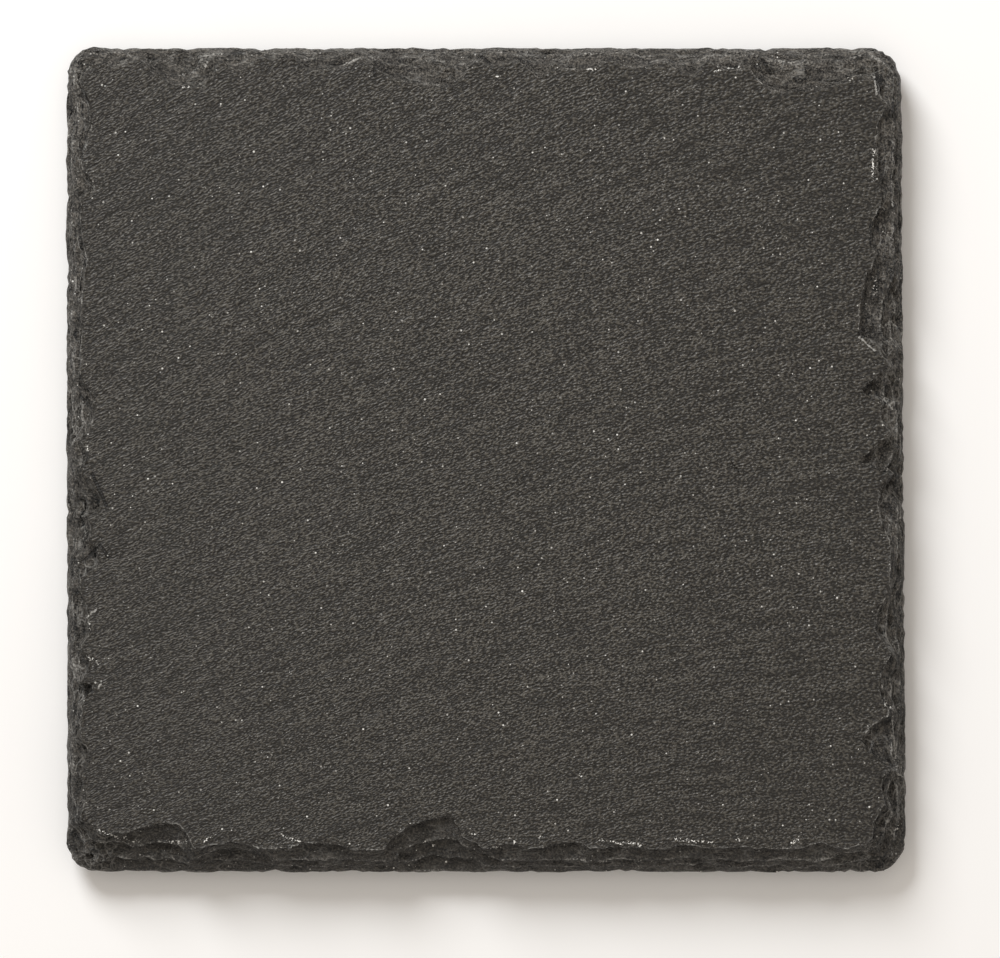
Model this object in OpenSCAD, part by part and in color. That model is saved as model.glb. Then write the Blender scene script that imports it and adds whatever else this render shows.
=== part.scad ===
// Square drink coaster: a slab of riven slate with hand-dressed edges, on four self-adhesive foam pads.
// The origin is on the table under the middle of the coaster. +X is to the right, +Y to the back, +Z up.

/* [Slate] */
// Width of the stone from left to right, at its front edge
slab_w = 101.1; // [92:0.1:112]
// Depth of the stone from front to back
slab_d = 99.2; // [92:0.1:112]
// Thickness of the stone between its two cleft faces
slab_t = 5; // [4:0.1:7]
// Radius of the largest nipped corner, seen from above
corner_r = 4; // [2.5:0.1:6]
// How much the right-hand edge runs in towards the back
edge_lean = 0.6; // [0:0.05:1.5]

/* [Dressed edge] */
// How far in from the edge the longest flake scar reaches
scar_reach = 7; // [5:0.1:9]
// Height of the snapped wall that stands under the flake scars
wall_h = 1.5; // [1:0.1:2.4]
// Depth of the nibbles along the snapped wall
nibble = 0.3; // [0.1:0.05:0.6]
// How far the rim of the lower face is broken back
arris = 0.35; // [0.2:0.05:0.8]
// How far a scar's rim wanders from its smooth arc
rim_wander = 0.14; // [0:0.02:0.3]
// How far the scars' beds rise and fall
bed_wobble = 0.12; // [0:0.02:0.2]

/* [Foam pads] */
// Diameter of a pad
pad_d = 10; // [6:0.5:14]
// Thickness of a pad's foam
pad_t = 1.5; // [1:0.1:3]
// Width of the small bevel that die-cutting leaves on a pad's rims
pad_bevel = 0.15; // [0.05:0.05:0.3]
// Distance from the edges of the stone to the middle of each pad
pad_inset = 14; // [12:0.5:22]

/* [Adhesive] */
// Thickness of the adhesive film between a pad and the stone
glue_t = 0.15; // [0.1:0.05:0.3]
// How far the film stays back from the pad's rim
glue_margin = 0.2; // [0:0.05:0.5]

/* [Hidden] */

slate_grey = "#484540";
foam_black = "#222222";
glue_clear = "#d8d2bd";

// The lower face of the stone lies on the adhesive films, which lie on the pads
slab_z = pad_t + glue_t;

// Stations round the stone, anticlockwise from the front left corner
side_stations = 124;
corner_stations = 12;
lap = side_stations + corner_stations;
stations = 4 * lap;

// The sides in order are front, right, back and left. Scars on the front and back are told from left
// to right, and those on the right and left from back to front, so two of the tables run backwards.
side_half = [slab_w / 2, slab_d / 2, slab_w / 2, slab_d / 2];
side_out = [slab_d / 2, slab_w / 2, slab_d / 2, slab_w / 2];
runs_backwards = [false, true, true, false];
corner_r_shares = [1, 1, 0.85, 0.9];

// Upper scars break the top face. Each row is where the scar starts, is deepest and ends, as shares
// of its side, and how deep it reaches, as a share of scar_reach. A fifth value is how full its arc
// is: 1 for a straight-sided notch, 2 for an ellipse, more for a box.
upper_scar_shares = [
    [
        [-0.05, 0.05, 0.09, 0.73], [0.04, 0.105, 0.163, 0.87], [0.14, 0.20, 0.26, 0.53],
        [0.24, 0.30, 0.355, 0.53], [0.372, 0.446, 0.48, 0.98], [0.44, 0.485, 0.50, 0.56],
        [0.48, 0.53, 0.56, 0.52], [0.54, 0.605, 0.63, 0.56], [0.62, 0.645, 0.70, 0.46],
        [0.69, 0.735, 0.775, 0.50], [0.77, 0.82, 0.87, 0.475], [0.86, 0.90, 0.92, 0.53],
        [0.91, 0.95, 1.05, 0.49],
    ],
    [
        [-0.05, 0.04, 0.085, 0.47], [0.075, 0.115, 0.21, 0.48], [0.18, 0.235, 0.27, 0.60],
        [0.23, 0.343, 0.36, 0.80], [0.34, 0.36, 0.39, 0.47], [0.38, 0.417, 0.435, 0.77, 1.2],
        [0.42, 0.44, 0.475, 0.44], [0.458, 0.503, 0.52, 0.76, 1.2], [0.51, 0.55, 0.605, 0.46],
        [0.62, 0.706, 0.73, 0.56, 1.3], [0.725, 0.765, 0.81, 0.45], [0.79, 0.845, 0.872, 0.83, 1.3],
        [0.855, 0.895, 0.925, 0.45], [0.88, 0.955, 1.05, 0.64, 1.4],
    ],
    [
        [-0.05, 0.03, 0.075, 0.38], [0.03, 0.065, 0.11, 0.32], [0.095, 0.15, 0.189, 0.70],
        [0.185, 0.21, 0.237, 0.40], [0.272, 0.305, 0.355, 0.40], [0.352, 0.452, 0.4845, 0.67],
        [0.475, 0.51, 0.55, 0.32], [0.53, 0.566, 0.585, 0.55, 1.4], [0.575, 0.61, 0.645, 0.43],
        [0.63, 0.68, 0.72, 0.34], [0.70, 0.745, 0.765, 0.50, 1.4], [0.755, 0.79, 0.82, 0.42],
        [0.805, 0.865, 0.965, 0.78], [0.94, 0.98, 1.03, 0.46],
    ],
    [
        [-0.04, 0.03, 0.06, 0.46], [0.045, 0.095, 0.15, 0.44], [0.145, 0.176, 0.19, 0.54, 1.3],
        [0.19, 0.27, 0.35, 0.35], [0.40, 0.445, 0.478, 0.51], [0.475, 0.495, 0.51, 0.42],
        [0.50, 0.556, 0.57, 0.70, 1.2], [0.56, 0.585, 0.605, 0.46], [0.60, 0.618, 0.636, 0.57, 4],
        [0.65, 0.70, 0.725, 0.44], [0.72, 0.745, 0.765, 0.42], [0.76, 0.772, 0.80, 0.50, 1.3],
        [0.83, 0.85, 0.875, 0.44], [0.87, 0.90, 0.93, 0.36], [0.913, 0.947, 1.1, 0.61, 1],
    ],
];
upper_floor_shares = [0.43, 0.27, 0.21, 0.27];

// Middle scars bite into the beds of the upper ones
middle_scar_shares = [
    [
        [-0.05, 0.045, 0.10, 0.60], [0.06, 0.118, 0.1605, 0.535], [0.155, 0.20, 0.262, 0.42],
        [0.384, 0.45, 0.515, 0.58], [0.69, 0.735, 0.78, 0.28], [0.885, 0.95, 1.05, 0.41],
    ],
    [
        [0.15, 0.18, 0.20, 0.22], [0.28, 0.34, 0.37, 0.42], [0.37, 0.423, 0.432, 0.35],
        [0.49, 0.525, 0.55, 0.33], [0.63, 0.70, 0.73, 0.33], [0.735, 0.77, 0.80, 0.26],
        [0.80, 0.83, 0.86, 0.24], [0.865, 0.90, 0.93, 0.32], [0.91, 0.95, 1.05, 0.40],
    ],
    [
        [0.087, 0.141, 0.171, 0.50], [0.27, 0.305, 0.34, 0.19], [0.36, 0.41, 0.437, 0.33],
        [0.43, 0.475, 0.50, 0.30], [0.53, 0.57, 0.61, 0.25], [0.66, 0.72, 0.765, 0.31],
        [0.83, 0.875, 0.93, 0.24],
    ],
    [
        [0.06, 0.09, 0.12, 0.22], [0.23, 0.27, 0.34, 0.18], [0.40, 0.44, 0.48, 0.29],
        [0.51, 0.575, 0.62, 0.38], [0.74, 0.78, 0.82, 0.29], [0.89, 0.91, 0.93, 0.18],
        [0.915, 0.947, 1.1, 0.42, 1],
    ],
];
middle_floor_shares = [0.22, 0.15, 0.10, 0.12];

// A lower contour keeps within these shares of the one above it
most_of_upper_share = 0.78;
least_of_upper_share = 0.3;
lower_low_share = 0.3;
lower_high_share = 0.72;

// Heights of the scars' feet and rims, as shares of the stone above the snapped wall
lower_foot_share = 0.20;
lower_rim_share = 0.31;
middle_foot_share = 0.52;
middle_rim_share = 0.63;
upper_foot_share = 0.89;
// How much of the way between two contours the step under a rim takes
step_share = 0.1;
// How full a scar's arc is where its row doesn't say
usual_fullness = 2;

// Rounding of an inner contour's corners, beside that of the outline
corner_keep_share = 0.25;
corner_loss_share = 0.6;
// Inset at which a station's place along its side is read from the tables
reading_inset = 0.6 * scar_reach;

function clamp_between(value, low, high) = min(max(value, low), high);
function mix(a, b, share) = a + (b - a) * share;

// Noise round the stone: rough has a fresh value at each station, even blends each with its neighbours
function rough(seed) = rands(0, 1, stations, seed);
function even(noise) = [
    for (i = [0:stations - 1])
        (noise[(i + stations - 1) % stations] + 2 * noise[i] + noise[(i + 1) % stations]) / 4
];

// Corner radius of the contour that lies inset by d, at the corner with radius r
function inner_r(r, d) = max(r * corner_keep_share, r - d * corner_loss_share);

// Which side a station is on, how far along the straight part it is, or how far round the corner after it
function side_of(i) = floor(i / lap);
function step_of(i) = i - side_of(i) * lap;
function on_corner(i) = step_of(i) >= side_stations;
function along(i) = min((step_of(i) + 0.5) / side_stations, 1);
function round_corner(i) = (step_of(i) - side_stations + 0.5) / corner_stations;
function radius_before(side) = corner_r * corner_r_shares[(side + 3) % 4];
function radius_after(side) = corner_r * corner_r_shares[side];

// The span of a side's straight part on the contour inset by d, measured from the middle of the side
function span_start(side, d) = -(side_half[side] - d - inner_r(radius_before(side), d));
function span_end(side, d) = side_half[side] - d - inner_r(radius_after(side), d);

// Plan position of a station on the contour inset by d, turned to its side and leaned
function turned(p, side) =
    side == 0 ? [p.x, -p.y] :
    side == 1 ? [p.y, p.x] :
    side == 2 ? [-p.x, p.y] :
    [-p.y, -p.x];
function leaned(p) = [
    p.x > 0 ? p.x * (1 - edge_lean / (slab_w / 2) * (p.y / slab_d + 0.5)) : p.x,
    p.y
];
function flat_place(i, d) = let (side = side_of(i)) [
    mix(span_start(side, d), span_end(side, d), along(i)),
    side_out[side] - d
];
function corner_place(i, d) = let (
    side = side_of(i),
    r = inner_r(radius_after(side), d),
    turn = 90 * round_corner(i)
) [
    side_half[side] - d - r + r * sin(turn),
    side_out[side] - d - r + r * cos(turn)
];
function plan(i, d) = leaned(turned(on_corner(i) ? corner_place(i, d) : flat_place(i, d), side_of(i)));

// A scar's rim is one quarter arc up to its deepest place and another down to its end
function scar_at(scar, q) = let (
    t = q < scar[1] ? (scar[1] - q) / (scar[1] - scar[0]) : (q - scar[1]) / (scar[2] - scar[1]),
    fullness = scar[4] == undef ? usual_fullness : scar[4]
) t >= 1 ? 0 : scar[3] * pow(1 - pow(t, fullness), 1 / fullness);
function scars_at(scars, side, q) = let (place = runs_backwards[side] ? 1 - q : q)
    max([for (scar = scars[side]) scar_at(scar, place)]);

// Reach of a table's scars at a station, as a share of scar_reach. Corners blend their two sides.
function side_reach(scars, floors, side, q) = max(floors[side], scars_at(scars, side, q));
function side_share(i) = let (
    side = side_of(i),
    place = mix(span_start(side, reading_inset), span_end(side, reading_inset), along(i))
) place / (2 * side_half[side]) + 0.5;
function reach_at(scars, floors, i) = let (side = side_of(i), next = (side + 1) % 4)
    on_corner(i)
        ? mix(
            side_reach(scars, floors, side, side_share(side * lap + side_stations - 1)),
            side_reach(scars, floors, next, side_share(next * lap)),
            round_corner(i)
        )
        : side_reach(scars, floors, side, side_share(i));

// Insets of the contours at each station, from the top face down
upper_noise = even(rough(11));
middle_noise = even(rough(23));
lower_noise = even(rough(37));
wall_noise = rough(41);
lip_noise = even(rough(53));
bed_noise = even(rough(67));

upper_inset = [for (i = [0:stations - 1])
    scar_reach * reach_at(upper_scar_shares, upper_floor_shares, i) + rim_wander * (2 * upper_noise[i] - 1)];
middle_inset = [for (i = [0:stations - 1]) clamp_between(
    scar_reach * reach_at(middle_scar_shares, middle_floor_shares, i)
        + rim_wander * (2 * middle_noise[i] - 1),
    upper_inset[i] * least_of_upper_share,
    upper_inset[i] * most_of_upper_share
)];
lower_inset = [for (i = [0:stations - 1])
    middle_inset[i] * mix(lower_low_share, lower_high_share, lower_noise[i])];
wall_inset = [for (i = [0:stations - 1]) nibble * pow(wall_noise[i], 3)];
lip_inset = [for (i = [0:stations - 1])
    min(nibble * lip_noise[i] + wall_inset[i] / 2, lower_inset[i] * (1 - step_share))];

// The foot of a step, just outside its rim
function foot_inset(outer, inner) = mix(outer, inner, 1 - step_share);
function height_of(share) = mix(wall_h, slab_t, share);
function bed(i, share) = height_of(share)
    + bed_wobble * (2 * bed_noise[(i + floor(share * lap)) % stations] - 1);

// Rings of points from the lower face to the rim of the top face
function ring(insets, heights) = [
    for (i = [0:stations - 1]) let (p = plan(i, insets[i])) [p.x, p.y, heights[i]]
];
slab_rings = [
    ring([for (i = [0:stations - 1]) arris + wall_inset[i]], [for (i = [0:stations - 1]) 0]),
    ring(wall_inset, [for (i = [0:stations - 1]) arris * (1 + lip_noise[i])]),
    ring(lip_inset, [for (i = [0:stations - 1]) bed(i, 0)]),
    ring([for (i = [0:stations - 1]) foot_inset(lip_inset[i], lower_inset[i])],
        [for (i = [0:stations - 1]) bed(i, lower_foot_share)]),
    ring(lower_inset, [for (i = [0:stations - 1]) bed(i, lower_rim_share)]),
    ring([for (i = [0:stations - 1]) foot_inset(lower_inset[i], middle_inset[i])],
        [for (i = [0:stations - 1]) bed(i, middle_foot_share)]),
    ring(middle_inset, [for (i = [0:stations - 1]) bed(i, middle_rim_share)]),
    ring([for (i = [0:stations - 1]) foot_inset(middle_inset[i], upper_inset[i])],
        [for (i = [0:stations - 1]) bed(i, upper_foot_share)]),
    ring(upper_inset, [for (i = [0:stations - 1]) slab_t]),
];

// A closed solid from a stack of rings, each with one point per station
module ring_stack(rings) {
    last = len(rings) - 1;
    points = [for (r = rings) for (p = r) p];
    walls = [
        for (k = [0:last - 1]) for (i = [0:stations - 1]) let (
            a = k * stations + i,
            b = a + stations,
            c = (k + 1) * stations + (i + 1) % stations,
            d = c - stations
        ) each [[a, b, c], [a, c, d]]
    ];
    under = [for (i = [0:stations - 1]) i];
    top = [for (i = [stations - 1:-1:0]) last * stations + i];
    polyhedron(points = points, faces = concat([under, top], walls), convexity = 4);
}

module slate_slab() {
    color(slate_grey) translate([0, 0, slab_z]) ring_stack(slab_rings);
}

// The middle of a pad: the signs say which corner of the stone it is under
function pad_place(sign_x, sign_y) = [sign_x * (slab_w / 2 - pad_inset), sign_y * (slab_d / 2 - pad_inset)];

module foam_pad(sign_x, sign_y) {
    r = pad_d / 2;
    color(foam_black) translate(pad_place(sign_x, sign_y)) rotate_extrude($fn = 96) polygon([
        [0, 0], [r - pad_bevel, 0], [r, pad_bevel],
        [r, pad_t - pad_bevel], [r - pad_bevel, pad_t], [0, pad_t],
    ]);
}

module adhesive(sign_x, sign_y) {
    color(glue_clear) translate([0, 0, pad_t]) translate(pad_place(sign_x, sign_y))
        cylinder(d = pad_d - 2 * (pad_bevel + glue_margin), h = glue_t, $fn = 96);
}

slate_slab();
foam_pad(-1, -1);  // foam_pad_front_left
foam_pad(1, -1);  // foam_pad_front_right
foam_pad(1, 1);  // foam_pad_back_right
foam_pad(-1, 1);  // foam_pad_back_left
adhesive(-1, -1);  // adhesive_front_left
adhesive(1, -1);  // adhesive_front_right
adhesive(1, 1);  // adhesive_back_right
adhesive(-1, 1);  // adhesive_back_left
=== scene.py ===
"""Square coaster of riven slate on foam pads: the surfaces of the stone, the pads and a plain stage.

Sizes are in metres, with +Z up, and the origin is on the table under the middle of the coaster.
"""

import math

import bmesh
import bpy
import numpy as np
from bpy.props import FloatProperty, FloatVectorProperty, IntProperty, PointerProperty
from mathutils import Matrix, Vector, noise


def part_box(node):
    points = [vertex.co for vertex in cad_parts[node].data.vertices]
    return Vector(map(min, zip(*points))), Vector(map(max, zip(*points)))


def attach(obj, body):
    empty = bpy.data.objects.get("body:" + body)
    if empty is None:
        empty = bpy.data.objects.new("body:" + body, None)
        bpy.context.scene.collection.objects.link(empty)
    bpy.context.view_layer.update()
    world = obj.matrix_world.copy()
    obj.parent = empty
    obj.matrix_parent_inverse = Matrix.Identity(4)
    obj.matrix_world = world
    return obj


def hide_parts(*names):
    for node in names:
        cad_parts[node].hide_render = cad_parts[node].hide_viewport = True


bl_info = {
    "name": "Slate Coaster",
    "version": (1, 0, 0),
    "blender": (4, 5, 0),
    "location": "View3D > Sidebar > Coaster",
    "description": "Dresses a square slate coaster: riven stone, foam pads, adhesive and a plain stage",
    "category": "Object",
}

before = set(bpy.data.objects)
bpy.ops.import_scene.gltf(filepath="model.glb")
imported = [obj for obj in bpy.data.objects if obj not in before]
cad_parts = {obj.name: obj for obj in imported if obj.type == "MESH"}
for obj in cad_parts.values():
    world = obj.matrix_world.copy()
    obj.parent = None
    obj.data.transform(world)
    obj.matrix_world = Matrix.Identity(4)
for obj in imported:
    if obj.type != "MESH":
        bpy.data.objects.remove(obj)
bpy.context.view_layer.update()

MM = 0.001
TOUCHING = 0.001 * MM
STONE_LOW, STONE_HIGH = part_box("slate_slab")
STONE_MIDDLE = (STONE_LOW + STONE_HIGH) / 2
STONE_HALF = (STONE_HIGH - STONE_LOW) / 2
PAD_PLACES = ("front_left", "front_right", "back_right", "back_left")

# The rings of vertices up the stone's edge, counted from the rim of its lower face. The CAD stone's end at
# the upper rim, and this script adds a lip inside each rim: a finely cut band of the riven face.
LOWER_RIM_RING = 0
WALL_FOOT_RING = 1
WALL_TOP_RING = 2
RIM_RING = 8
LIP_RING = 9
LOWER_LIP_RING = -1

# The grain's direction turns slowly from place to place, in radians per metre
GRAIN_TURN_X = -5.5
GRAIN_TURN_Y = 3.3

# Widths of the patterns in the stone's material. A stretch is a width as a share of the length.
RIBBON = 1.6 * MM
RIBBON_STRETCH = 0.15
STREAK = 0.8 * MM
STREAK_STRETCH = 0.14
CRUMB = 0.25 * MM
WANDER = 2.4 * MM
CHIP = 1.0 * MM
SPLINTER = 0.45 * MM
SPECK = 0.125 * MM
SPECK_SPACING = 1.2 * MM
DUST = 0.1 * MM
DUST_SPACING = 0.6 * MM
PATCH = 4 * MM

# The grain is strongest in the middle and weakens outwards over this radius
FADE_RADIUS = 60 * MM
# The left and right borders are rougher, from the first of these distances from the middle to the second
ROUGH_FROM = 44 * MM
ROUGH_FULL = 46 * MM
# Within this border the chips lie along the edge, and their outlines bend by this much over this size
BORDER = 6 * MM
CHIP_BEND = 1.2 * MM
CHIP_BEND_SIZE = 1.6 * MM

# Sizes of the shapes that are cut into the stone's mesh, and the seed of their noise
NOISE_SEED = 7
RIM_WANDER_SIZE = 1.1 * MM
WALL_SWELL_SIZE = 3.5 * MM
LARGE_FLAKE = 2.1 * MM
SMALL_FLAKE = 0.9 * MM
PITTING = 0.03 * MM
PIT_SIZE = 0.5 * MM
LAYER_WAVE = 9 * MM
LAYER_BUMP = 2.5 * MM
WAVE_LENGTH = 20 * MM
RIPPLE_LENGTH = 6 * MM
RIPPLE_WIDTH = 2.2 * MM
# The lower face stays flat over the adhesive films and for this far round them
FILM_CLEARANCE = 3 * MM

# The foam pads and the adhesive films: their meshes, and the patterns in their materials
PAD_SEGMENTS = 96
PAD_CUTS = 5
PAD_ROUNDING = 0.14 * MM
MOTTLE = 1.8 * MM
CELL_BUMP = 0.03 * MM
CLOUD = 1.4 * MM
CLOUD_BUMP = 0.02 * MM

# The stage: the outline is widest at the top of the snapped wall, so the picture's scale holds there
OUTLINE_Z = STONE_LOW.z + 1.5 * MM
FLOOR_SIZE = 6
KEY_DISTANCE = 0.9
SENSOR = 36

# The reference picture: how much one of its pixels spans, and which of them is over the coaster's middle
PIXEL = 0.1204 * MM
MIDDLE_PIXEL = (486.5, 460)
PICTURE_SIZE = (1000, 958)

# What the chisel left on the dressed edge, read from the picture: both ends of each mark, in pixels.
# First the pale crumbs along broken rims, then pale scratches and lips, then cracks and dark lines under
# small risers, which the material grooves and darkens with painted shade.
CRUMB_LINES = (
    (98, 828, 118, 836), (118, 836, 141, 841), (165, 841, 188, 841), (205, 841, 212, 834),
    (280, 833, 300, 840), (425, 841, 435, 846), (470, 831, 478, 835), (490, 846, 500, 846),
    (505, 835, 515, 841), (540, 834, 543, 835), (600, 838, 622, 843), (622, 840, 640, 844),
    (675, 838, 712, 841), (736, 838, 742, 838), (790, 843, 800, 835), (895, 830, 901, 823),
    (184, 88, 192, 88), (493, 78, 499, 78), (588, 71, 597, 71), (715, 73, 738, 68), (848, 80, 851, 80),
    (872, 148, 871, 184), (874, 277, 873, 294), (88, 447, 92, 453), (91, 616, 91, 630),
    (88, 655, 100, 663), (883, 697, 884, 704),
)
PALE_LINES = (
    (201, 57, 222, 55), (206, 68, 208, 62), (345, 66, 360, 60), (872, 70, 875, 96), (881, 232, 892, 240),
    (893, 185, 891, 207), (882, 328, 890, 321), (890, 321, 897, 328), (858, 338, 873, 351),
    (882, 399, 892, 410), (891, 716, 895, 758), (98, 609, 88, 617), (103, 680, 100, 688),
    (897, 773, 903, 777),
)
CRACK_AND_SHADE_LINES = (
    (762, 61, 770, 75), (875, 72, 878, 94), (375, 70, 376, 79), (482, 58, 490, 65), (233, 54, 245, 54),
    (83, 90, 90, 104), (94, 474, 108, 506), (86, 560, 98, 548), (102, 545, 110, 557),
)
MARK_REACH = 0.6 * MM


class StoneSettings(bpy.types.PropertyGroup):
    """Relief and colours of the stone."""

    lip_width: FloatProperty(
        name="Lip Width", description="Width of the finely cut band of the top face inside its rim",
        default=0.9 * MM, unit="LENGTH")
    edge_cuts: IntProperty(
        name="Edge Cuts", description="Cuts across each face of the dressed edge", default=3, min=1, max=3)
    swell: FloatProperty(
        name="Swell", description="Height of the broad waves of the two riven faces",
        default=0.10 * MM, unit="LENGTH")
    ripple: FloatProperty(
        name="Ripple", description="Height of the ripples that run along the grain",
        default=0.06 * MM, unit="LENGTH")
    hollow: FloatProperty(
        name="Hollow", description="How far each scar's bed is hollowed below its riser",
        default=0.16 * MM, unit="LENGTH")
    lamina: FloatProperty(
        name="Lamina", description="Thickness of the layers that the dressed edge breaks into",
        default=0.42 * MM, unit="LENGTH")
    lamina_depth: FloatProperty(
        name="Lamina Depth", description="How far one layer stands out from the next",
        default=0.04 * MM, unit="LENGTH")
    flake: FloatProperty(
        name="Flake", description="Height of the small flakes on the dressed edge",
        default=0.07 * MM, unit="LENGTH")
    bulge: FloatProperty(
        name="Bulge", description="How far the wall of the edge swells between its nicks",
        default=0.1 * MM, unit="LENGTH")
    raggedness: FloatProperty(
        name="Raggedness", description="How far the rims of the scars wander",
        default=0.24 * MM, unit="LENGTH")
    grain_angle: FloatProperty(
        name="Grain Angle", description="Direction of the grain at the middle of the stone",
        default=math.radians(20), subtype="ANGLE")
    grain_size: FloatProperty(
        name="Grain Size", description="Spacing of the fine ridges across the grain",
        default=0.21 * MM, unit="LENGTH")
    grain_stretch: FloatProperty(
        name="Grain Stretch", description="Width of a fine ridge as a share of its length", default=0.58)
    grain_height: FloatProperty(
        name="Grain Height", description="Height of the fine ridges", default=0.25 * MM, unit="LENGTH")
    streak: FloatProperty(
        name="Streak", description="Height of the long streaks of a riven face",
        default=0.28 * MM, unit="LENGTH")
    tread: FloatProperty(
        name="Tread", description="Height of the little steps between the layers of a riven face",
        default=0.03 * MM, unit="LENGTH")
    grain_detail: FloatProperty(
        name="Grain Detail", description="How much finer the ridges' own texture goes", default=0.6)
    sheen: FloatProperty(
        name="Sheen", description="Roughness of the shiniest flakes", default=0.36)
    matt: FloatProperty(
        name="Matt", description="Roughness of the dullest stone", default=0.6)
    contrast: FloatProperty(
        name="Contrast", description="How much paler the crests of the grain are", default=1.3)
    riven_colour: FloatVectorProperty(
        name="Riven Colour", description="Colour of the riven faces",
        default=(0.0525, 0.0467, 0.0380), subtype="COLOR", size=3)
    crest_colour: FloatVectorProperty(
        name="Crest Colour", description="Colour of the crests of the grain",
        default=(0.0495, 0.0457, 0.0385), subtype="COLOR", size=3)
    scar_colour: FloatVectorProperty(
        name="Scar Colour", description="Colour of freshly broken stone",
        default=(0.0670, 0.0613, 0.0530), subtype="COLOR", size=3)
    # Also the colour of the painted highlights on lips and crests
    powder_colour: FloatVectorProperty(
        name="Powder Colour", description="Colour of crushed stone on lips and crumbs",
        default=(0.80, 0.79, 0.75), subtype="COLOR", size=3)


class PadSettings(bpy.types.PropertyGroup):
    """Sizes and colours of the foam pads and their adhesive."""

    waist: FloatProperty(
        name="Waist", description="How far a die-cut pad draws in at half its height",
        default=0.12 * MM, unit="LENGTH")
    cell: FloatProperty(
        name="Cell", description="Size of the foam's cells", default=0.28 * MM, unit="LENGTH")
    cell_depth: FloatProperty(
        name="Cell Depth", description="Depth of the cells in the foam's skin",
        default=0.025 * MM, unit="LENGTH")
    foam_colour: FloatVectorProperty(
        name="Foam Colour", description="Colour of the foam",
        default=(0.016, 0.016, 0.0165), subtype="COLOR", size=3)
    film_colour: FloatVectorProperty(
        name="Film Colour", description="Colour of the adhesive film",
        default=(0.62, 0.58, 0.46), subtype="COLOR", size=3)


class StageSettings(bpy.types.PropertyGroup):
    """The floor, the lights and the camera."""

    lens: FloatProperty(name="Lens", description="Focal length in millimetres", default=250, min=50)
    key_level: FloatProperty(
        name="Key Level", description="Brightness that the key light alone gives a white card facing it",
        default=0.95)
    key_height: FloatProperty(
        name="Key Height", description="Angle of the key light above the floor",
        default=math.radians(33), subtype="ANGLE")
    key_turn: FloatProperty(
        name="Key Turn", description="How far the key light is turned to the left of straight behind",
        default=math.radians(28), subtype="ANGLE")
    key_size: FloatProperty(
        name="Key Size", description="Width of the key light", default=0.45, unit="LENGTH")
    key_colour: FloatVectorProperty(
        name="Key Colour", description="Colour of the key light",
        default=(0.99, 1.0, 1.01), subtype="COLOR", size=3)
    fill_level: FloatProperty(
        name="Fill Level", description="Brightness of the light from all round", default=0.5)
    fill_colour: FloatVectorProperty(
        name="Fill Colour", description="Colour of the light from all round",
        default=(1.08, 1.0, 0.91), subtype="COLOR", size=3)
    floor_colour: FloatVectorProperty(
        name="Floor Colour", description="Colour of the floor",
        default=(0.96, 0.96, 0.96), subtype="COLOR", size=3)
    floor_gain: FloatProperty(
        name="Floor Gain", description="How much paler the camera sees the floor than the stone does",
        default=1.06)


class Signal:
    """A shader socket that takes part in Python sums. A tree with no node yet has none for its socket."""

    def __init__(self, tree, socket=None):
        self.tree = tree
        self.socket = socket

    def node(self, kind, settings=None, values=None, output=0):
        """Adds a node to the tree, sets it up, fills or links its sockets and gives one of its outputs."""
        node = self.tree.nodes.new(kind)
        for name, value in (settings or {}).items():
            setattr(node, name, value)
        for key, value in (values or {}).items():
            if isinstance(value, Signal):
                self.tree.links.new(value.socket, node.inputs[key])
            else:
                node.inputs[key].default_value = value
        return Signal(self.tree, node.outputs[output])

    def output(self, name):
        """Another output of the same node."""
        return Signal(self.tree, self.socket.node.outputs[name])

    def math(self, operation, first, second=0.0):
        return self.node("ShaderNodeMath", {"operation": operation}, {0: first, 1: second})

    def __add__(self, other):
        return self.math("ADD", self, other)

    def __radd__(self, other):
        return self.math("ADD", other, self)

    def __sub__(self, other):
        return self.math("SUBTRACT", self, other)

    def __rsub__(self, other):
        return self.math("SUBTRACT", other, self)

    def __mul__(self, other):
        return self.math("MULTIPLY", self, other)

    def __rmul__(self, other):
        return self.math("MULTIPLY", other, self)


def new_tree(owner):
    """The emptied node tree of a material or a world."""
    owner.use_nodes = True
    owner.node_tree.nodes.clear()
    return Signal(owner.node_tree)


def new_material(name):
    """A material with an empty node tree."""
    material = bpy.data.materials.new(name)
    return material, new_tree(material)


def end_tree(kind, surface):
    """Links a surface or a background to a new output node."""
    end = surface.tree.nodes.new(kind)
    surface.tree.links.new(surface.socket, end.inputs["Surface"])


def finish_surface(tree, **sockets):
    """Ends a material with a Principled surface."""
    named = {name.replace("_", " "): value for name, value in sockets.items()}
    end_tree("ShaderNodeOutputMaterial", tree.node("ShaderNodeBsdfPrincipled", values=named))


def split(vector):
    """The three numbers of a vector."""
    first = vector.node("ShaderNodeSeparateXYZ", values={0: vector})
    return first, first.output("Y"), first.output("Z")


def mapped(place, scale=(1, 1, 1), shift=(0, 0, 0)):
    """A place scaled, turned off the noises' axes so that their lattices don't show, and shifted."""
    return place.node(
        "ShaderNodeMapping",
        values={"Vector": place, "Scale": scale, "Rotation": (0.6, 0.45, 0.3), "Location": shift})


def noise_at(place, size, detail=2.0, roughness=0.5):
    """Noise from 0 to 1 whose largest features are about size across."""
    return place.node(
        "ShaderNodeTexNoise",
        values={"Vector": place, "Scale": 1 / size, "Detail": detail, "Roughness": roughness})


def steps(value, low, high, start=0.0, end=1.0):
    """Goes smoothly from start to end while value goes from low to high."""
    return value.node(
        "ShaderNodeMapRange", {"interpolation_type": "SMOOTHSTEP"},
        {"Value": value, "From Min": low, "From Max": high, "To Min": start, "To Max": end})


def mix_colours(share, first, second):
    """First colour where share is 0, second where it is 1."""
    full = [c if isinstance(c, Signal) else tuple(c) + (1.0,) for c in (first, second)]
    return share.node("ShaderNodeMix", {"data_type": "RGBA"}, {0: share, 6: full[0], 7: full[1]}, output=2)


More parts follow.
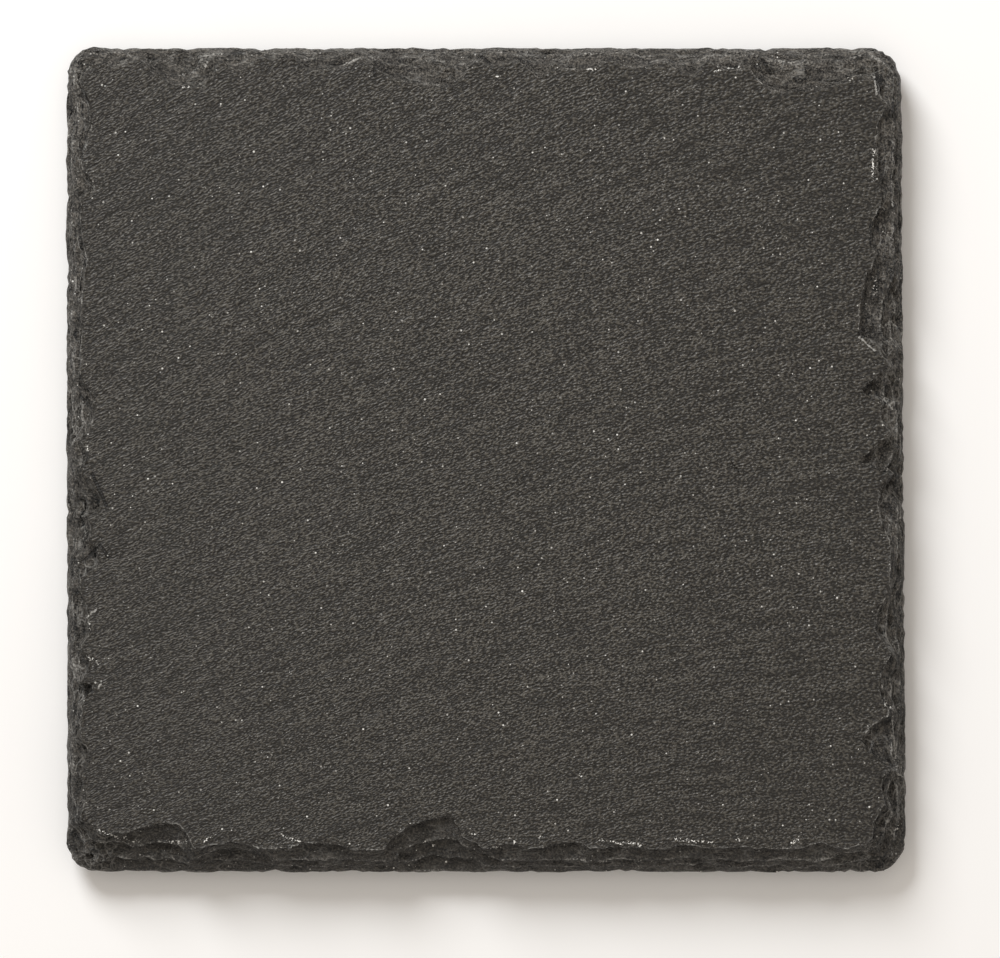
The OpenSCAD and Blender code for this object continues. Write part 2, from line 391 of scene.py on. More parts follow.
def brightened(colour, level):
    """A colour times a level that varies."""
    first = colour if isinstance(colour, Signal) else tuple(colour)
    return level.node("ShaderNodeVectorMath", {"operation": "SCALE"}, {0: first, "Scale": level})


def terraces(value, riser):
    """How far a stepped slope stands off an even one: treads one apart, with risers that take that share."""
    beyond = value - value.math("FLOOR", value)
    return steps(beyond, 1 - riser, 1) - beyond + 0.5


def bump(height, distance):
    """A surface normal bent by a height, of which 1 stands for that distance."""
    return height.node("ShaderNodeBump", values={"Height": height, "Distance": distance})


def attribute(tree, name):
    """What mark_stone stored on the piece under that name."""
    return tree.node("ShaderNodeAttribute", {"attribute_name": name}, output="Fac")


def vector_math(operation, *vectors):
    """A sum or product of vectors, of which the first is a signal."""
    return vectors[0].node("ShaderNodeVectorMath", {"operation": operation}, dict(enumerate(vectors)))


def cells_at(place, size, feature="F1"):
    """The distance in a pattern of cells of about that size."""
    return place.node(
        "ShaderNodeTexVoronoi", {"feature": feature}, {"Vector": place, "Scale": 1 / size}, output="Distance")


def slowed(coordinate, reach):
    """Runs at half its pace within that reach of the middle, so that what it places is stretched there."""
    near = coordinate.math("MAXIMUM", coordinate.math("MINIMUM", coordinate, reach), -reach)
    return coordinate - 0.5 * near


def bent(place, size, reach):
    """A place shifted by noise, so that straight borders come out curved."""
    drift = vector_math("SUBTRACT", noise_at(place, size, 1.0).output("Color"), (0.5, 0.5, 0.5))
    return vector_math("MULTIPLY_ADD", drift, (reach, reach, reach), place)


def facets(place, size):
    """Flat chips of about that size, each tilted its own way: their height, and a brightness from 0 to 1."""
    drawn = cells_at(place, size)
    offset = vector_math("SUBTRACT", place, drawn.output("Position"))
    tilt = vector_math("SUBTRACT", drawn.output("Color"), (0.5, 0.5, 0.5))
    slope = vector_math("DOT_PRODUCT", offset, tilt).output("Value")
    return slope * (2 / size), split(drawn.output("Color"))[0]


def flecks(place, spacing, share, size):
    """Round flecks, in that share of the cells of that spacing, from 0 to 1."""
    distance = cells_at(place, spacing)
    chance, brightness, width = split(distance.output("Color"))
    reach = size / spacing
    shown = steps(chance, share, share * 0.98)
    spot = steps(distance * (1.6 - width * 0.8), reach, reach * 0.55)
    return shown * spot * (0.45 + 0.55 * brightness)


def riven_face(place, stone):
    """A riven face's fine grain, its height in millimetres about the mean, and its colour."""
    x, y, _ = split(place)
    turn = x * (-GRAIN_TURN_X / 2) - y * GRAIN_TURN_Y - stone.grain_angle
    grain = place.node(
        "ShaderNodeVectorRotate", {"rotation_type": "Z_AXIS"}, {"Vector": place, "Angle": turn})
    fine = noise_at(mapped(grain, (stone.grain_stretch, 1, 1)), stone.grain_size, stone.grain_detail, 0.65)
    ribbons = noise_at(mapped(grain, (RIBBON_STRETCH, 1, 1)), RIBBON, 4.0, 0.6)
    streaks = noise_at(mapped(grain, (STREAK_STRETCH, 1, 1), (0.2, 0.5, 0.1)), STREAK, 2.0, 0.6)
    patches = steps(streaks, 0.3, 0.7, 0.6, 1.4)
    middle = steps(x * x + y * y, 0, FADE_RADIUS ** 2, 1.18, 0.9)
    # Fine ridges, then broad ribbons, then little steps where a layer ends
    height = (
        (fine - 0.5) * patches * middle * (stone.grain_height / MM) + (ribbons - 0.5) * (stone.streak / MM)
        + terraces(ribbons * 9, 0.3) * (stone.tread / MM))

    # The crests of the grain are the pale part, and they crowd along the streaks
    crests = steps(fine + 0.34 * (streaks - 0.5), 0.42, 0.69)
    level = 0.265 + stone.contrast * middle * crests + 0.1 * (ribbons - 0.5)
    colour = brightened(mix_colours(crests, stone.riven_colour, stone.crest_colour), level)
    return fine, height, colour


def broken_edge(place, crumbly, wander, stone):
    """The dressed edge's height in millimetres about the mean, its colour, and the pale rims of its chips."""
    x, y, z = split(place)
    side = steps(x.math("ABSOLUTE", x), ROUGH_FROM, ROUGH_FULL)
    battered = 0.9 + 0.7 * side + y * (0.2 / STONE_HALF.y)
    crisp = 1.4 + 0.25 * side + y * (0.2 / STONE_HALF.y)
    # Chips and splinters, each tilted and shaded its own way
    lengthwise = place.node(
        "ShaderNodeCombineXYZ",
        values={0: slowed(x, STONE_HALF.x - BORDER), 1: slowed(y, STONE_HALF.y - BORDER), 2: z * 2})
    lengthwise = mapped(bent(lengthwise, CHIP_BEND_SIZE, CHIP_BEND))
    chips, chip_level = facets(lengthwise, CHIP)
    splinters, splinter_level = facets(mapped(lengthwise, (1, 1, 1), (0.2, 0.1, 0.3)), SPLINTER)
    strata = z * (1 / (stone.lamina * 0.5)) + wander * 5
    height = (
        0.32 * crisp * (crumbly - 0.5)
        + battered * (0.25 * (wander - 0.5) + 0.3 * chips + 0.2 * splinters) + 0.05 * terraces(strata, 0.25))

    # Paler crumbs and chips; painted shade in the hollows and at the feet of the risers; and darker gaps
    # between the chips, partly cracks and partly painted shade
    level = (
        0.38 + crisp * steps(crumbly, 0.42, 0.66)
        + battered * (0.3 * (wander - 0.5) + 0.4 * (chip_level - 0.5) + 0.6 * (splinter_level - 0.5)))
    foot = attribute(place, "foot") * steps(wander, 0.35, 0.6, 0.05, 0.3)
    painted_hollow_shade = (1 - 0.3 * attribute(place, "hollow")) * (1 - foot)
    # Painted light and shade: paler towards the back and the right, darker towards the front and the left
    painted_side_light = 1 + x * (0.07 / STONE_HALF.x) + y * (0.16 / STONE_HALF.y)
    border = cells_at(lengthwise, CHIP, "DISTANCE_TO_EDGE")
    gap_cracks_and_shade = steps(border, 0.14, 0.03) * steps(wander, 0.56, 0.42) * (battered * 0.32)
    colour = brightened(stone.scar_colour, level * painted_hollow_shade * painted_side_light * (1 - gap_cracks_and_shade))
    rims = steps(border, 0.09, 0.02) * steps(wander, 0.42, 0.6)
    return height, colour, rims * attribute(place, "dressed") * battered * 0.12


def crushed_stone(place, crumbly, wander, rims):
    """How far pale flecks, crumbs, lips and crests, paler partly from wear and partly with painted highlight,
    and the chisel's marks cover the stone.
    """
    specks = flecks(mapped(place, (1, 1, 0.3)), SPECK_SPACING, 0.95, SPECK)
    dust = flecks(mapped(place, (1, 1, 0.3), (0.31, 0.17, 0.05)), DUST_SPACING, 0.2, DUST)
    lip = attribute(place, "lip")
    crumbs = steps(crumbly, 0.52, 0.66) * steps(lip, 0.25, 0.6) * steps(noise_at(place, PATCH), 0.42, 0.62)
    # Worn lips and the crests of the steps: paler partly from wear and partly with a painted highlight
    wear_and_highlight = steps(lip, 0.1, 0.7) * 0.04
    crest = attribute(place, "crest") + 2.4 * (wander - 0.5) + 1.8 * (crumbly - 0.5)
    on_edge = wear_and_highlight + steps(crest, 0.85, 1.05) * 0.15 + crumbs * 0.25 + rims
    traced = steps(attribute(place, "crumb") + 2.6 * (crumbly - 0.5), 1.0, 1.1)
    scratched = steps(attribute(place, "scratch") + 0.9 * (crumbly - 0.5), 0.78, 0.9) * 0.4
    pale = specks.math("MAXIMUM", specks + dust * 0.4, on_edge)
    return pale.math("MAXIMUM", pale, traced.math("MAXIMUM", traced, scratched))


def slate_material(stone):
    """Riven slate: fine grain along the cleavage, pale flecks, and chipped, crushed stone on the edge."""
    material, tree = new_material("riven_slate")
    place = tree.node("ShaderNodeTexCoord", output="Object")
    crumbly = noise_at(mapped(place), CRUMB, 2.0, 0.6)
    wander = noise_at(mapped(place), WANDER, 4.0, 0.6)
    dressed = attribute(tree, "dressed")
    # Cracks are grooved in the bump and darkened with painted shade, as are the lines under small risers
    cracks_and_shade = steps(attribute(tree, "crack_and_shade") + 0.4 * (crumbly - 0.5), 0.62, 0.78)

    fine, face_height, face_colour = riven_face(place, stone)
    edge_height, edge_colour, rims = broken_edge(place, crumbly, wander, stone)
    height = face_height * (1 - dressed) + edge_height * dressed - 0.25 * cracks_and_shade
    ground = brightened(mix_colours(dressed, face_colour, edge_colour), 1 - 0.8 * cracks_and_shade)
    colour = mix_colours(crushed_stone(place, crumbly, wander, rims), ground, stone.powder_colour)
    finish_surface(
        tree, Base_Color=colour, Roughness=steps(fine, 0.35, 0.7, stone.matt, stone.sheen),
        Specular_IOR_Level=0.42, Normal=bump(height, MM))
    return material


def foam_material(pads):
    """Matt black closed-cell foam."""
    material, tree = new_material("closed_cell_foam")
    place = tree.node("ShaderNodeTexCoord", output="Object")
    cells = place.node(
        "ShaderNodeTexVoronoi", {"feature": "SMOOTH_F1"},
        {"Vector": place, "Scale": 1 / (pads.cell * 0.6), "Smoothness": 0.4}, output="Distance")
    mottle = noise_at(place, MOTTLE, 3.0, 0.6)
    level = 0.75 + 0.5 * mottle + 0.5 * (0.5 - cells)
    finish_surface(
        tree, Base_Color=brightened(pads.foam_colour, level), Roughness=steps(mottle, 0.3, 0.7, 0.85, 0.95),
        Specular_IOR_Level=0.3, Normal=bump(1 - cells, CELL_BUMP))
    return material


def film_material(pads):
    """Thin acrylic adhesive film, slightly cloudy."""
    material, tree = new_material("adhesive_film")
    place = tree.node("ShaderNodeTexCoord", output="Object")
    cloud = noise_at(place, CLOUD, 3.0, 0.55)
    finish_surface(
        tree, Base_Color=brightened(pads.film_colour, 0.8 + 0.4 * cloud),
        Roughness=steps(cloud, 0.3, 0.7, 0.28, 0.45), Normal=bump(cloud, CLOUD_BUMP))
    return material


def floor_material(stage):
    """Plain pale floor, a little paler where the camera itself sees it."""
    material, tree = new_material("studio_floor")
    seen = tree.node("ShaderNodeLightPath", output="Is Camera Ray")
    colour = brightened(stage.floor_colour, seen * (stage.floor_gain - 1) + 1)
    finish_surface(tree, Base_Color=colour, Roughness=1.0, Specular_IOR_Level=0.0)
    return material


def pick_only(piece):
    """Selects one object and makes it active."""
    bpy.ops.object.select_all(action="DESELECT")
    piece.select_set(True)
    bpy.context.view_layer.objects.active = piece


def select_parts(piece, kind, wanted):
    """In edit mode, selects the vertices, edges or faces that are wanted, and nothing else."""
    bpy.ops.mesh.select_mode(type=kind)
    bpy.ops.mesh.select_all(action="DESELECT")
    shape = bmesh.from_edit_mesh(piece.data)
    for part in {"VERT": shape.verts, "EDGE": shape.edges, "FACE": shape.faces}[kind]:
        if wanted(part):
            part.select = True
    shape.select_flush_mode()
    bmesh.update_edit_mesh(piece.data)


def merged_copy(node, name):
    """A new piece with a CAD node's shape and its doubles merged, left in edit mode."""
    piece = bpy.data.objects.new(name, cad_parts[node].data.copy())
    bpy.context.scene.collection.objects.link(piece)
    pick_only(piece)
    bpy.ops.mesh.customdata_custom_splitnormals_clear()
    bpy.ops.object.mode_set(mode="EDIT")
    bpy.ops.mesh.select_all(action="SELECT")
    bpy.ops.mesh.remove_doubles(threshold=TOUCHING)
    return piece


def open_riven_faces(stone):
    """Takes off the flat top and bottom faces of the CAD stone."""
    def is_flat_face(face):
        z = face.calc_center_median().z
        return abs(face.normal.z) > 0.999 and min(z - STONE_LOW.z, STONE_HIGH.z - z) < TOUCHING
    select_parts(stone, "FACE", is_flat_face)
    bpy.ops.mesh.delete(type="FACE")


def number_rings(stone):
    """Numbers the rings of vertices from the rim of the lower face up."""
    shape = bmesh.from_edit_mesh(stone.data)
    ring = shape.verts.layers.float.new("ring")
    front = [v for v in shape.verts if v.is_boundary and v.co.z < STONE_MIDDLE.z]
    seen = set(front)
    number = LOWER_RIM_RING
    while front:
        for vert in front:
            vert[ring] = number
        beyond = {e.other_vert(v) for v in front for e in v.link_edges} - seen
        seen |= beyond
        front = list(beyond)
        number += 1
    bmesh.update_edit_mesh(stone.data)


def number_selected(stone, number):
    """Gives the selected vertices a ring number, and returns how many they are."""
    shape = bmesh.from_edit_mesh(stone.data)
    ring = shape.verts.layers.float["ring"]
    selected = [v for v in shape.verts if v.select]
    for vert in selected:
        vert[ring] = number
    bmesh.update_edit_mesh(stone.data)
    return len(selected)


def extrude_lip(stone, upper, width):
    """Extrudes the rim of a riven face inwards, leaves the new rim selected and counts its vertices."""
    select_parts(stone, "EDGE", lambda e: e.is_boundary and (e.verts[0].co.z > STONE_MIDDLE.z) == upper)
    bpy.ops.mesh.extrude_edges_move()
    shrink = 1 - width / STONE_HALF.x
    bpy.ops.transform.resize(value=(shrink, shrink, 1), center_override=STONE_MIDDLE)
    return number_selected(stone, LIP_RING if upper else LOWER_LIP_RING)


def fill_riven_face(stone, upper, columns):
    """Fills the selected rim with an even grid from a corner of the stone, numbered one beyond the lip."""
    bpy.ops.mesh.select_mode(type="VERT")
    shape = bmesh.from_edit_mesh(stone.data)
    shape.select_history.clear()
    shape.select_history.add(max((v for v in shape.verts if v.select), key=lambda v: v.co.x + v.co.y))
    bpy.ops.mesh.fill_grid(span=columns)
    shape = bmesh.from_edit_mesh(stone.data)
    ring = shape.verts.layers.float["ring"]
    for vert in shape.verts:
        if vert.select and not any(f.select is False for f in vert.link_faces):
            vert[ring] = LIP_RING + 1 if upper else LOWER_LIP_RING - 1
    bmesh.update_edit_mesh(stone.data)


def thin_rim(stone):
    """Dissolves every other vertex of the selected rim, leaves the rest selected and returns their number."""
    bpy.ops.mesh.select_mode(type="VERT")
    shape = bmesh.from_edit_mesh(stone.data)
    left = {v for v in shape.verts if v.select}
    here = min(left, key=lambda v: (v.co.x, v.co.y))
    walked = []
    while here is not None:
        walked.append(here)
        left.discard(here)
        beside = [e.other_vert(here) for e in here.link_edges if e.is_boundary]
        here = next((v for v in beside if v in left), None)
    if left:
        raise RuntimeError("the lower rim isn't one closed loop")
    for vert in walked[::2]:
        vert.select = False
    bmesh.update_edit_mesh(stone.data)
    bpy.ops.mesh.dissolve_verts()
    select_parts(stone, "EDGE", lambda e: e.is_boundary)
    return len(walked[::2])


def cut_edge_finely(stone, cuts):
    """Cuts up the dressed edge and the lip inside the upper rim, and the wall below them only lengthwise."""
    shape = bmesh.from_edit_mesh(stone.data)
    ring = shape.verts.layers.float["ring"]

    def is_cut(edge):
        low, high = sorted(v[ring] for v in edge.verts)
        return (low >= WALL_TOP_RING and high <= LIP_RING) or low == high == WALL_FOOT_RING
    select_parts(stone, "EDGE", is_cut)
    bpy.ops.mesh.subdivide(number_cuts=cuts)
    bpy.ops.mesh.select_all(action="SELECT")
    bpy.ops.mesh.quads_convert_to_tris(quad_method="BEAUTY", ngon_method="BEAUTY")
    bpy.ops.mesh.normals_make_consistent(inside=False)


def pixel_place(across, down):
    """Where a pixel of the reference picture is, seen from the coaster's middle."""
    return (across - MIDDLE_PIXEL[0]) * PIXEL, (MIDDLE_PIXEL[1] - down) * PIXEL


def nearness(places, lines):
    """How near each place is, in plan, to the nearest of some lines: 1 on it, 0 from MARK_REACH away."""
    nearest = np.full(len(places), MARK_REACH)
    for line in lines:
        start, end = (np.array(pixel_place(*pixel)) for pixel in (line[:2], line[2:]))
        along = end - start
        share = np.clip((places[:, :2] - start) @ along / (along @ along), 0, 1)
        away = np.linalg.norm(places[:, :2] - start - share[:, None] * along, axis=1)
        nearest = np.minimum(nearest, away)
    return 1 - nearest / MARK_REACH


def cut_marks_finely(stone):
    """Cuts up the upper faces near the chisel's marks once more."""
    shape = bmesh.from_edit_mesh(stone.data)
    centres = np.array([f.calc_center_median() if f.normal.z > 0.2 else (0, 0, 0) for f in shape.faces])
    near = set(np.nonzero(nearness(centres, CRUMB_LINES + PALE_LINES + CRACK_AND_SHADE_LINES) > 0.5)[0].tolist())
    select_parts(stone, "FACE", lambda f: f.index in near)
    bpy.ops.mesh.subdivide(number_cuts=1)
    bpy.ops.mesh.select_all(action="SELECT")
    bpy.ops.mesh.quads_convert_to_tris(quad_method="BEAUTY", ngon_method="BEAUTY")


def ramp(value, low, high):
    """0 up to low, 1 from high, and smooth between."""
    t = min(max((value - low) / (high - low), 0.0), 1.0)
    return t * t * (3 - 2 * t)


def grain_place(place, angle, length, width):
    """A place on a riven face, told in grains of that length and width."""
    turn = angle + GRAIN_TURN_X / 2 * place.x + GRAIN_TURN_Y * place.y
    c, s = math.cos(turn), math.sin(turn)
    return Vector(((place.x * c + place.y * s) / length, (place.y * c - place.x * s) / width, 0))


def riven_depth(place, stone):
    """How far a riven face lies below its highest crests."""
    along_grain = grain_place(place, stone.grain_angle, RIPPLE_LENGTH, RIPPLE_WIDTH)
    waves = noise.noise(Vector((place.x, place.y, 0)) / WAVE_LENGTH) * 0.5 + 0.5
    ripples = noise.fractal(along_grain, 0.9, 2.0, 3) * 0.5 + 0.5
    return stone.swell * (1 - waves) + stone.ripple * (1 - min(max(ripples, 0), 1))


def film_discs():
    """The middle of each adhesive film in plan, and their radius."""
    boxes = [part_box("adhesive_" + place) for place in PAD_PLACES]
    return [((low + high) / 2).xy for low, high in boxes], (boxes[0][1].x - boxes[0][0].x) / 2


def flake_height(place, size):
    """Tilted flat flakes of about that size, from about -1 to 1."""
    spot = Vector((place.x / size, place.y / size, place.z / (0.45 * size)))
    centre = noise.voronoi(spot)[1][0]
    tilt = noise.noise_vector(centre * 7.3)
    return noise.noise(centre * 3.1) * 1.2 + 1.1 * tilt.dot(spot - centre)


def layer_height(place, thickness):
    """Saw-toothed layers of the stone, from -0.5 to 0.5, level but for a slow wander."""
    wander = noise.noise(Vector((place.x, place.y, 0)) / LAYER_WAVE) * 1.4
    spot = Vector((place.x / LAYER_BUMP, place.y / LAYER_BUMP, place.z / thickness * 0.7))
    uneven = 0.35 * noise.noise(spot)
    count = place.z / thickness + wander + uneven
    return 0.5 - (count - math.floor(count))


def rim_shift(place, size):
    """Sideways wander of the scars' rims, part smooth and part jumping from flake to flake."""
    ragged = noise.noise_vector(place / size) * 0.7 + noise.noise_vector(place / (0.35 * size)) * 0.35
    centre = noise.voronoi(place / (1.5 * size))[1][0]
    jump = noise.noise_vector(centre * 5.7) * 0.9
    return Vector((ragged.x + jump.x, ragged.y + jump.y, 0))


def edge_move(place, normal, ring, stone):
    """How a vertex of the dressed edge moves: the rims wander, the wall swells, and beds flake and sink."""
    inside = 1 - ramp(ring, RIM_RING, LIP_RING)
    foot = ramp(ring, WALL_FOOT_RING - 0.5, WALL_FOOT_RING + 0.5)
    free = 0.2 + 0.8 * ramp(ring, WALL_TOP_RING, WALL_TOP_RING + 2)
    move = rim_shift(place, RIM_WANDER_SIZE) * (stone.raggedness * inside * foot * free)

    swollen = 1 + 2 * noise.fractal(place / WALL_SWELL_SIZE, 0.8, 2.0, 3)
    wall = foot * ramp(WALL_TOP_RING + 2 - ring, 0, 2)
    move += Vector((normal.x, normal.y, 0)) * (stone.bulge * wall * swollen)

    on_edge = ramp(RIM_RING + 0.35 - ring, 0, 0.5)
    rise = stone.flake * flake_height(place, LARGE_FLAKE)
    rise += 0.55 * stone.flake * flake_height(place + Vector((MM, 0, 0)), SMALL_FLAKE)
    rise += stone.lamina_depth * layer_height(place, stone.lamina)
    rise += PITTING * noise.fractal(place / PIT_SIZE, 1.0, 2.0, 2)
    if WALL_TOP_RING < ring < RIM_RING:
        across_bed = ring % 2
        rise -= stone.hollow * (ramp(across_bed, 0, 0.8) * ramp(1.3 - across_bed, 0, 0.3))
    return move + normal * (rise * on_edge * foot * free)


def carve_stone(piece, stone):
    """Moves the vertices: flakes and hollows on the dressed edge, waves and ripples on the riven faces."""
    # Without a seed, noise vectors take their offsets from the clock
    noise.seed_set(NOISE_SEED)
    mesh = piece.data
    films, film_radius = film_discs()
    rings = [d.value for d in mesh.attributes["ring"].data]
    normals = [n.vector.copy() for n in mesh.vertex_normals]
    for vert, ring, normal in zip(mesh.vertices, rings, normals):
        place = vert.co.copy()
        move = Vector((0, 0, 0))
        if WALL_FOOT_RING - 0.5 < ring < LIP_RING:
            move = edge_move(place, normal, ring, stone)
        if ring > RIM_RING - 1:
            move.z -= riven_depth(place, stone) * ramp(ring, RIM_RING - 1, RIM_RING)
        if ring < LOWER_RIM_RING:
            nearest = min(math.dist(place.xy, middle) for middle in films)
            clear = ramp(nearest, film_radius, film_radius + FILM_CLEARANCE)
            move.z += riven_depth(place, stone) * clear * ramp(-ring, LOWER_RIM_RING, -LOWER_LIP_RING)
        moved = place + move
        moved.z = min(max(moved.z, STONE_LOW.z), STONE_HIGH.z)
        vert.co = moved
    mesh.update()


def numbers_from(parts, name, width=1, kind=float):
    """One value or vector of all the vertices or edges, as an array."""
    values = np.empty(len(parts) * width, dtype=kind)
    parts.foreach_get(name, values)
    return values.reshape(-1, width) if width > 1 else values


def bend_at(places, normals, ends):
    """How sharply the surface bends at each vertex: above 0 on a lip, below 0 in a hollow."""
    spans = places[ends[:, 1]] - places[ends[:, 0]]
    spans /= np.maximum(np.linalg.norm(spans, axis=1, keepdims=True), 1e-9)
    bend = np.zeros(len(places))
    edges_at = np.zeros(len(places))
    for side, sign in ((0, 1), (1, -1)):
        np.add.at(bend, ends[:, side], -sign * np.einsum("ij,ij->i", normals[ends[:, side]], spans))
        np.add.at(edges_at, ends[:, side], 1)
    return bend / np.maximum(edges_at, 1)


def mark_stone(piece):
    """Stores where the stone is dressed, bent, stepped and marked by the chisel, for its material."""
    mesh = piece.data
    places = numbers_from(mesh.vertices, "co", 3)
    normals = numbers_from(mesh.vertex_normals, "vector", 3)
    ends = numbers_from(mesh.edges, "vertices", 2, int)
    rings = numbers_from(mesh.attributes["ring"].data, "value")
    bend = bend_at(places, normals, ends)
    near_edge = (rings > LOWER_RIM_RING - 0.5) & (rings < LIP_RING - 0.2)
    on_step = (rings > WALL_TOP_RING + 0.5) & (rings < RIM_RING)
    at_rim = np.abs(rings - RIM_RING) < 0.1
    upper = rings > WALL_FOOT_RING
    beyond = np.mod(rings + 1, 2)
    marks = {
        "dressed": np.clip((RIM_RING + 0.3 - rings) / 0.3, 0, 1) * np.clip(rings - LOWER_LIP_RING, 0, 1),
        # The lips and crests get crushed stone and, in part, a painted highlight in the material
        "lip": np.where(near_edge, np.clip(bend * 2.2, 0, 1), 0),
        # The hollows and the feet of the risers get painted shade in the material
        "hollow": np.where(near_edge, np.clip(-bend * 2.2, 0, 1), 0),
        "foot": np.where(on_step, np.interp(beyond, (0, 0.7, 1, 1.4, 1.75, 2), (1, 0.6, 0, 0, 0.2, 1)), 0),
        "crest": np.where(on_step | at_rim, np.clip(1 - np.abs(beyond - 1) / 0.25, 0, 1), 0),
        "crumb": upper * nearness(places, CRUMB_LINES),
        "scratch": upper * nearness(places, PALE_LINES),
        # The cracks get painted shade in the material
        "crack_and_shade": upper * nearness(places, CRACK_AND_SHADE_LINES),
    }
    for name, values in marks.items():
        mesh.attributes.new(name, "FLOAT", "POINT").data.foreach_set("value", values.astype(np.float32))


class COASTER_OT_stone(bpy.types.Operator):
    """Make the riven stone with its dressed edge"""

    bl_idname = "coaster.stone"
    bl_label = "Stone"

    def execute(self, context):
        stone = context.scene.coaster_stone
        piece = merged_copy("slate_slab", "riven_stone")
        open_riven_faces(piece)
        number_rings(piece)
        around = extrude_lip(piece, True, stone.lip_width)
        fill_riven_face(piece, True, around // 4)
        extrude_lip(piece, False, stone.lip_width)
        around = thin_rim(piece)
        fill_riven_face(piece, False, around // 4)
        cut_edge_finely(piece, stone.edge_cuts)
        cut_marks_finely(piece)
        bpy.ops.object.mode_set(mode="OBJECT")
        carve_stone(piece, stone)
        mark_stone(piece)
        bpy.ops.object.shade_smooth_by_angle(angle=math.radians(38))
        piece.data.materials.clear()
        piece.data.materials.append(slate_material(stone))
        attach(piece, "root")
        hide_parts("slate_slab")
        return {"FINISHED"}


def shape_pad(node, name, pads):
    """A die-cut foam disc: rounded rims, a slight waist and a skin of fine cells."""
    low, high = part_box(node)
    radius = (high.x - low.x) / 2
    height = high.z - low.z
    middle = (low + high) / 2
    bpy.ops.object.select_all(action="DESELECT")
    bpy.ops.mesh.primitive_cylinder_add(
        vertices=PAD_SEGMENTS, radius=radius, depth=height, end_fill_type="NOTHING", location=middle)
    piece = bpy.context.object
    piece.name = name
    bpy.ops.object.transform_apply(location=True, rotation=True, scale=True)
    bpy.ops.object.mode_set(mode="EDIT")
    select_parts(piece, "EDGE", lambda e: not e.is_boundary)
    bpy.ops.mesh.subdivide(number_cuts=PAD_CUTS)
    for upper in (True, False):
        select_parts(piece, "EDGE", lambda e: e.is_boundary and (e.verts[0].co.z > middle.z) == upper)
        bpy.ops.mesh.fill_grid(span=PAD_SEGMENTS // 4)
    bpy.ops.mesh.select_all(action="SELECT")
    bpy.ops.mesh.normals_make_consistent(inside=False)

    def on_rim(vert):
        at_face = abs(abs(vert.co.z - middle.z) - height / 2) < TOUCHING
        return at_face and math.dist(vert.co.xy, middle.xy) > radius - TOUCHING
    select_parts(piece, "EDGE", lambda e: all(on_rim(v) for v in e.verts))
    bpy.ops.mesh.bevel(offset=PAD_ROUNDING, segments=2, profile=0.6, affect="EDGES")
    bpy.ops.object.mode_set(mode="OBJECT")
    finer = piece.modifiers.new("Finer", "SUBSURF")
    finer.levels = 1
    finer.render_levels = 1
    bpy.ops.object.modifier_apply(modifier=finer.name)
    carve_pad(piece, middle, radius, height, pads)
    bpy.ops.object.shade_smooth()
    return piece


def carve_pad(piece, middle, radius, height, pads):
    """Draws in the waist and sinks the foam's cells into its skin."""
    mesh = piece.data
    normals = [n.vector.copy() for n in mesh.vertex_normals]
    for vert, normal in zip(mesh.vertices, normals):
        out = Vector((vert.co.x - middle.x, vert.co.y - middle.y, 0))
        rise = (vert.co.z - middle.z) / (height / 2)
        waist = pads.waist * max(0, 1 - rise * rise) * ramp(out.length, radius * 0.9, radius)
        nearest = noise.voronoi(vert.co / pads.cell)[0][0]
        pit = pads.cell_depth * (1 - min(nearest * 1.6, 1))
        moved = vert.co - out.normalized() * waist - normal * pit
        moved.z = min(max(moved.z, middle.z - height / 2), middle.z + height / 2)
        vert.co = moved
    mesh.update()


class COASTER_OT_pads(bpy.types.Operator):
    """Make the four foam pads"""

    bl_idname = "coaster.pads"
    bl_label = "Foam Pads"

    def execute(self, context):
        pads = context.scene.coaster_pads
        foam = foam_material(pads)
        for place in PAD_PLACES:
            piece = shape_pad("foam_pad_" + place, "foam_disc_" + place, pads)
            piece.data.materials.append(foam)
            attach(piece, "root")
            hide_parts("foam_pad_" + place)
        return {"FINISHED"}


class COASTER_OT_films(bpy.types.Operator):
    """Give the four adhesive films their finish"""

    bl_idname = "coaster.films"
    bl_label = "Adhesive Films"

    def execute(self, context):
        film = film_material(context.scene.coaster_pads)
        for place in PAD_PLACES:
            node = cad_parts["adhesive_" + place]
            node.data.materials.clear()
            node.data.materials.append(film)
        return {"FINISHED"}


def light_world(stage):
    """Even light from all round, and white where the camera looks past the floor."""
    world = bpy.data.worlds.new("studio")
    tree = new_tree(world)
    seen = tree.node("ShaderNodeLightPath", output="Is Camera Ray")
    level = [part * stage.fill_level for part in stage.fill_colour]
    light = tree.node("ShaderNodeBackground", values={"Color": mix_colours(seen, level, (1, 1, 1))})
    end_tree("ShaderNodeOutputWorld", light)
    bpy.context.scene.world = world


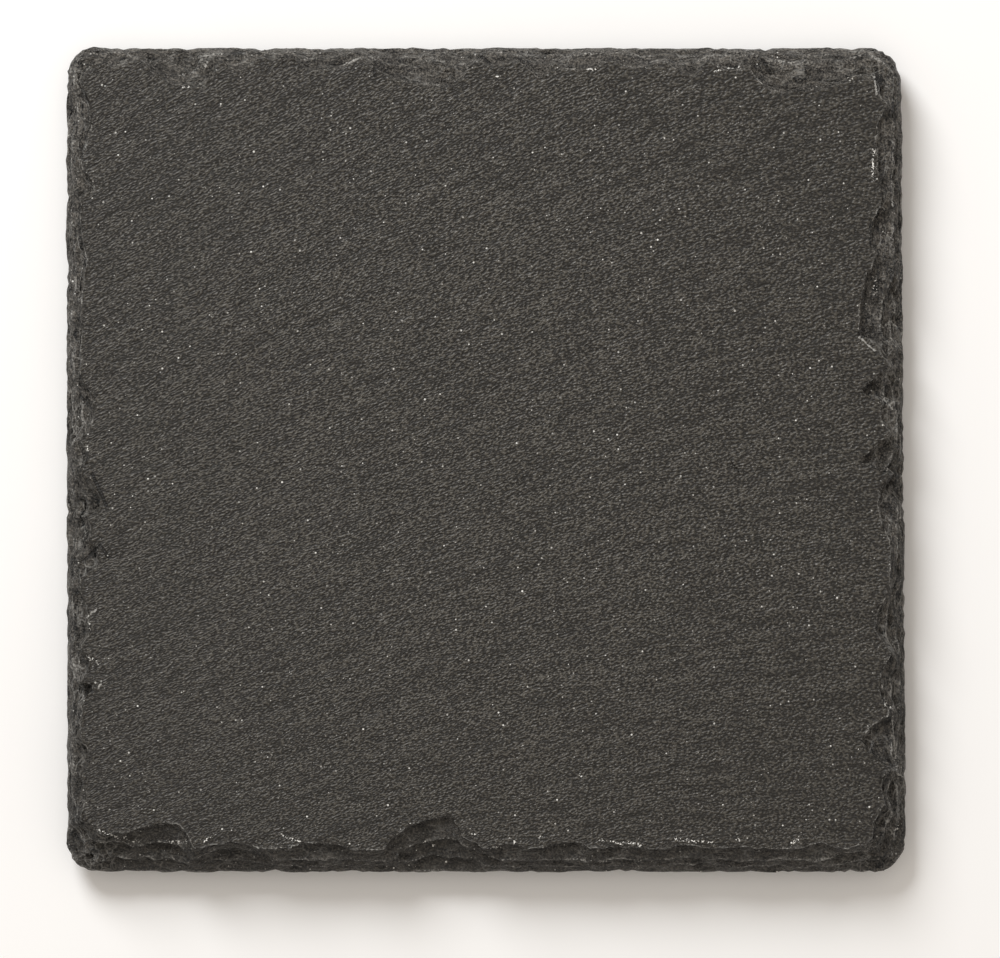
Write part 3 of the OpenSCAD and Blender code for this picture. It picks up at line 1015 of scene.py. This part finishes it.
class COASTER_OT_stage(bpy.types.Operator):
    """Set up the floor, the lights and the camera"""

    bl_idname = "coaster.stage"
    bl_label = "Stage"

    def execute(self, context):
        stage = context.scene.coaster_stage
        bpy.ops.object.select_all(action="DESELECT")
        bpy.ops.mesh.primitive_plane_add(size=FLOOR_SIZE)
        floor = context.object
        floor.name = "studio_floor"
        floor.data.materials.append(floor_material(stage))
        light_world(stage)

        towards = Vector((
            -math.sin(stage.key_turn) * math.cos(stage.key_height),
            math.cos(stage.key_turn) * math.cos(stage.key_height),
            math.sin(stage.key_height)))
        bpy.ops.object.light_add(type="AREA", location=towards * KEY_DISTANCE)
        key = context.object
        key.name = "key_light"
        key.rotation_euler = towards.to_track_quat("Z", "Y").to_euler()
        key.data.shape = "DISK"
        key.data.size = stage.key_size
        key.data.color = stage.key_colour
        # The power at which a white card that faces the light from the coaster's place has the key level
        key.data.energy = stage.key_level * (math.pi * KEY_DISTANCE) ** 2

        away = PICTURE_SIZE[0] * PIXEL * stage.lens / SENSOR
        aside = pixel_place(PICTURE_SIZE[0] / 2, PICTURE_SIZE[1] / 2)
        bpy.ops.object.camera_add(location=(*aside, OUTLINE_Z + away), rotation=(0, 0, 0))
        camera = context.object
        camera.name = "picture_camera"
        camera.data.sensor_width = SENSOR
        camera.data.lens = stage.lens
        camera.data.clip_start = 0.01
        camera.data.clip_end = 20
        context.scene.camera = camera
        context.scene.view_settings.view_transform = "Standard"
        return {"FINISHED"}


class COASTER_PT_panel(bpy.types.Panel):
    """Lists the pieces of the coaster with their settings"""

    bl_idname = "COASTER_PT_panel"
    bl_label = "Slate Coaster"
    bl_space_type = "VIEW_3D"
    bl_region_type = "UI"
    bl_category = "Coaster"

    def draw(self, context):
        groups = (
            ("coaster.stone", context.scene.coaster_stone),
            ("coaster.pads", context.scene.coaster_pads),
            ("coaster.films", context.scene.coaster_pads),
            ("coaster.stage", context.scene.coaster_stage),
        )
        for operator, settings in groups:
            box = self.layout.box()
            box.operator(operator)
            for name in settings.__annotations__:
                box.prop(settings, name)


CLASSES = (
    StoneSettings, PadSettings, StageSettings,
    COASTER_OT_stone, COASTER_OT_pads, COASTER_OT_films, COASTER_OT_stage, COASTER_PT_panel,
)


def register():
    for part in CLASSES:
        bpy.utils.register_class(part)
    bpy.types.Scene.coaster_stone = PointerProperty(type=StoneSettings)
    bpy.types.Scene.coaster_pads = PointerProperty(type=PadSettings)
    bpy.types.Scene.coaster_stage = PointerProperty(type=StageSettings)


def unregister():
    for name in ("coaster_stone", "coaster_pads", "coaster_stage"):
        delattr(bpy.types.Scene, name)
    for part in reversed(CLASSES):
        bpy.utils.unregister_class(part)


def main():
    register()
    bpy.ops.coaster.stage()
    bpy.ops.coaster.stone()
    bpy.ops.coaster.pads()
    bpy.ops.coaster.films()


if __name__ == "__main__":
    main()
